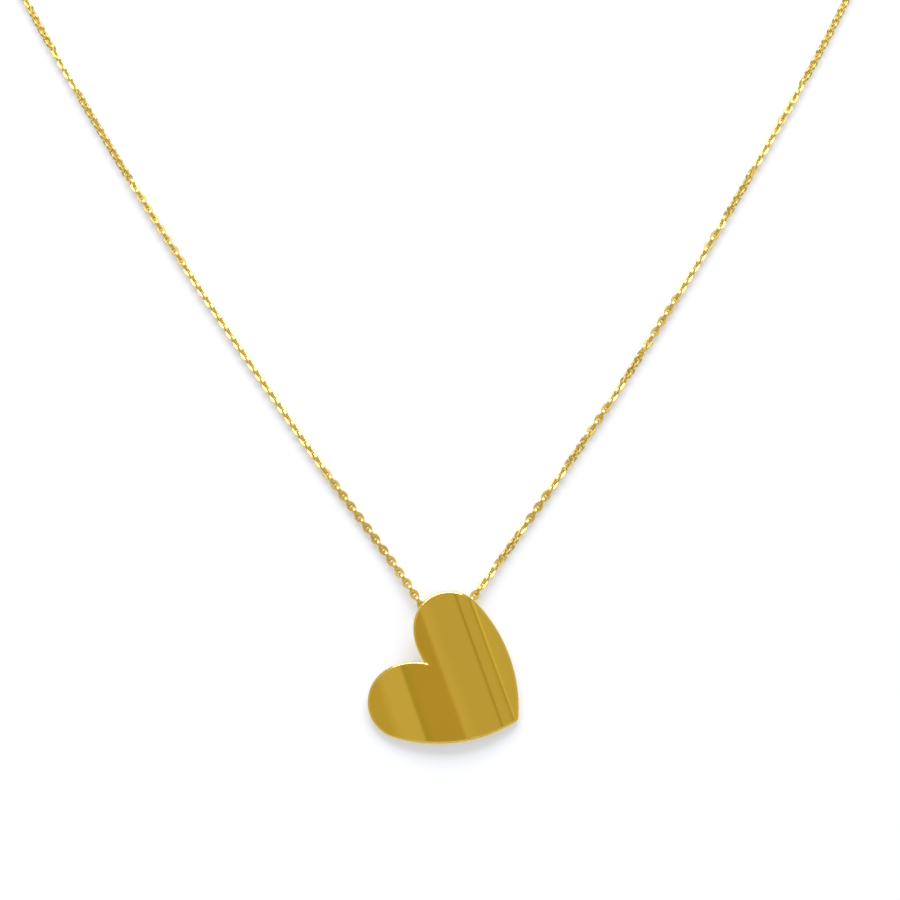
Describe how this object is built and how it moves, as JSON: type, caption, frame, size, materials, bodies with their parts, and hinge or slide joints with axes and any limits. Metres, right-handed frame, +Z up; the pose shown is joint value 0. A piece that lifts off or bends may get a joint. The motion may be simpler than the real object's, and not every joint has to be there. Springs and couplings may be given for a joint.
{
  "type": "pendant necklace",
  "caption": "Heart pendant on a fine cable chain with a spring-ring clasp; worn round the neck, laid out flat with the clasp undone.",
  "frame": {"origin": "centre of the whole necklace's box in plan, on the surface it lies on", "axes": "+Z up from that surface, heart towards -Y, clasp towards +Y, +X to the right of someone who stands at the heart"},
  "size_m": [0.1202, 0.1884, 0.0034],
  "materials": {
    "heart_gold": "polished yellow gold plate with faint hairlines",
    "bail_gold": "polished yellow gold strap",
    "chain_gold": "polished, flat-cut yellow gold links",
    "finding_gold": "polished yellow gold",
    "spring_steel": "drawn spring wire"
  },
  "bodies": {
    "chain_core": {"chain_core": "chain_gold"},
    "pendant": {"heart_plate": "heart_gold", "pendant_bail": "bail_gold"},
    "left_strand_1": {"left_turning_link_1": "chain_gold", "left_chain_1": "chain_gold"},
    "left_strand_2": {"left_turning_link_2": "chain_gold", "left_chain_2": "chain_gold"},
    "left_strand_3": {"left_turning_link_3": "chain_gold", "left_chain_3": "chain_gold"},
    "left_strand_4": {"left_turning_link_4": "chain_gold", "left_chain_4": "chain_gold"},
    "left_strand_5": {"left_turning_link_5": "chain_gold", "left_chain_5": "chain_gold"},
    "left_strand_6": {"left_turning_link_6": "chain_gold", "left_chain_6": "chain_gold"},
    "right_strand_1": {"right_turning_link_1": "chain_gold", "right_chain_1": "chain_gold"},
    "right_strand_2": {"right_turning_link_2": "chain_gold", "right_chain_2": "chain_gold"},
    "right_strand_3": {"right_turning_link_3": "chain_gold", "right_chain_3": "chain_gold"},
    "right_strand_4": {"right_turning_link_4": "chain_gold", "right_chain_4": "chain_gold"},
    "right_strand_5": {"right_turning_link_5": "chain_gold", "right_chain_5": "chain_gold"},
    "right_strand_6": {"right_turning_link_6": "chain_gold", "right_chain_6": "chain_gold"},
    "clasp_jump_ring": {"clasp_jump_ring": "finding_gold"},
    "clasp": {"clasp_case": "finding_gold", "clasp_spring": "spring_steel"},
    "clasp_bolt": {"clasp_bolt": "finding_gold"},
    "end_jump_ring": {"end_jump_ring": "finding_gold"},
    "end_ring": {"end_ring": "finding_gold"}
  },
  "joints": [
    {"name": "pendant_swing", "type": "hinge", "parent": "chain_core", "child": "pendant", "pos_m": [0.00077, -0.08078, 0.00095], "axis": [1, 0, 0], "range_deg": [-6, 90]},
    {"name": "left_turn_1", "type": "hinge", "parent": "chain_core", "child": "left_strand_1", "pos_m": [-0.00091, -0.08057, 0.00095], "axis": [0, 0, 1], "range_deg": [0, 15]},
    {"name": "left_turn_2", "type": "hinge", "parent": "left_strand_1", "child": "left_strand_2", "pos_m": [-0.03179, -0.03461, 0.00051], "axis": [0, 0, 1], "range_deg": [0, 30]},
    {"name": "left_turn_3", "type": "hinge", "parent": "left_strand_2", "child": "left_strand_3", "pos_m": [-0.04969, -0.00347, 0.00051], "axis": [0, 0, 1], "range_deg": [0, 30]},
    {"name": "left_turn_4", "type": "hinge", "parent": "left_strand_3", "child": "left_strand_4", "pos_m": [-0.05955, 0.03229, 0.00051], "axis": [0, 0, 1], "range_deg": [0, 30]},
    {"name": "left_turn_5", "type": "hinge", "parent": "left_strand_4", "child": "left_strand_5", "pos_m": [-0.04943, 0.06459, 0.00051], "axis": [0, 0, 1], "range_deg": [0, 30]},
    {"name": "left_turn_6", "type": "hinge", "parent": "left_strand_5", "child": "left_strand_6", "pos_m": [-0.02329, 0.08636, 0.00051], "axis": [0, 0, 1], "range_deg": [0, 30]},
    {"name": "right_turn_1", "type": "hinge", "parent": "chain_core", "child": "right_strand_1", "pos_m": [0.00245, -0.08057, 0.00095], "axis": [0, 0, -1], "range_deg": [0, 15]},
    {"name": "right_turn_2", "type": "hinge", "parent": "right_strand_1", "child": "right_strand_2", "pos_m": [0.01772, -0.0583, 0.00051], "axis": [0, 0, -1], "range_deg": [0, 30]},
    {"name": "right_turn_3", "type": "hinge", "parent": "right_strand_2", "child": "right_strand_3", "pos_m": [0.03933, -0.02229, 0.00051], "axis": [0, 0, -1], "range_deg": [0, 30]},
    {"name": "right_turn_4", "type": "hinge", "parent": "right_strand_3", "child": "right_strand_4", "pos_m": [0.0573, 0.01724, 0.00051], "axis": [0, 0, -1], "range_deg": [0, 30]},
    {"name": "right_turn_5", "type": "hinge", "parent": "right_strand_4", "child": "right_strand_5", "pos_m": [0.05649, 0.05268, 0.00051], "axis": [0, 0, -1], "range_deg": [0, 30]},
    {"name": "right_turn_6", "type": "hinge", "parent": "right_strand_5", "child": "right_strand_6", "pos_m": [0.02943, 0.08372, 0.00051], "axis": [0, 0, -1], "range_deg": [0, 30]},
    {"name": "clasp_jump_ring_turn", "type": "hinge", "parent": "left_strand_6", "child": "clasp_jump_ring", "pos_m": [-0.00894, 0.09042, 0.00062], "axis": [0, 0, 1], "range_deg": [-30, 30]},
    {"name": "clasp_turn", "type": "hinge", "parent": "clasp_jump_ring", "child": "clasp", "pos_m": [-0.00668, 0.09072, 0.00062], "axis": [0, 0, 1], "range_deg": [-35, 35]},
    {"name": "bolt_draw", "type": "hinge", "parent": "clasp", "child": "clasp_bolt", "pos_m": [-0.00279, 0.09124, 0.00062], "axis": [0, 0, -1], "range_deg": [0, 58], "stiffness_Nm_per_rad": 0.00002, "springref_deg": -17.19, "deforming": ["clasp_spring"]},
    {"name": "end_jump_ring_turn", "type": "hinge", "parent": "right_strand_6", "child": "end_jump_ring", "pos_m": [0.00678, 0.09107, 0.00062], "axis": [0, 0, 1], "range_deg": [-30, 30]},
    {"name": "end_ring_turn", "type": "hinge", "parent": "end_jump_ring", "child": "end_ring", "pos_m": [0.00451, 0.0913, 0.00062], "axis": [0, 0, 1], "range_deg": [-60, 60]}
  ]
}
